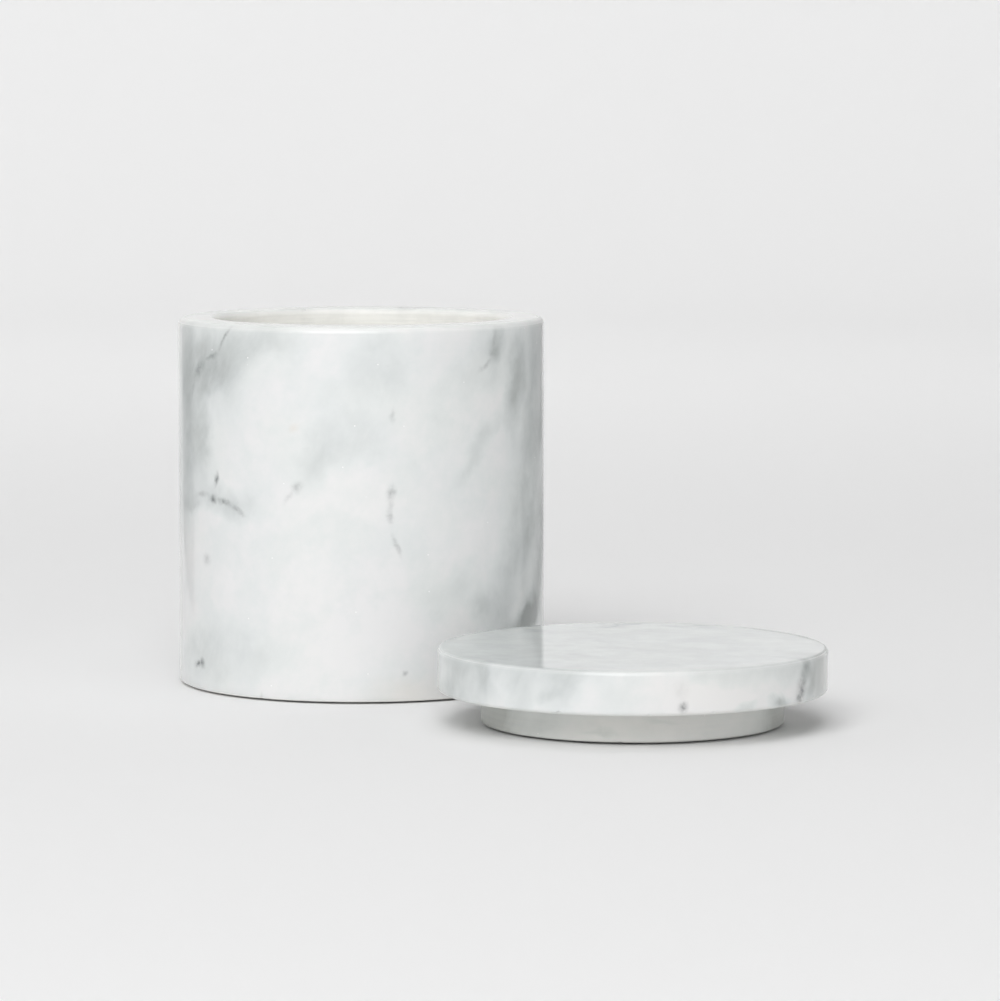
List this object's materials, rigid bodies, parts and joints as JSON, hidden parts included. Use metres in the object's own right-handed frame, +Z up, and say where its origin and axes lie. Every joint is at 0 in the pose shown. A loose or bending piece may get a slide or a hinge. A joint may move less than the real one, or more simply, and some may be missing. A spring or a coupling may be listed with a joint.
{
  "type": "powder jar",
  "caption": "Round open jar turned from veined marble, with its flat disc lid lying on its spigot beside it.",
  "frame": {"origin": "centre of the jar's foot, on the surface that the jar and the lid stand on", "axes": "+Z up along the jar's axis; the jar is seen from the -Y side, with the lid lying in front of it and to its right, towards +X and -Y"},
  "size_m": [0.1722, 0.183, 0.1],
  "materials": {
    "jar_marble": "polished, white with soft grey clouds and thin dark veins",
    "lid_marble": "polished, white with soft grey clouds and thin dark veins"
  },
  "bodies": {
    "jar": {"jar": "jar_marble"},
    "lid": {"lid": "lid_marble"}
  },
  "joints": [
    {"name": "lid_lift", "type": "slide", "parent": "jar", "child": "lid", "axis": [0, 0, 1], "range_m": [0, 0.12]}
  ]
}
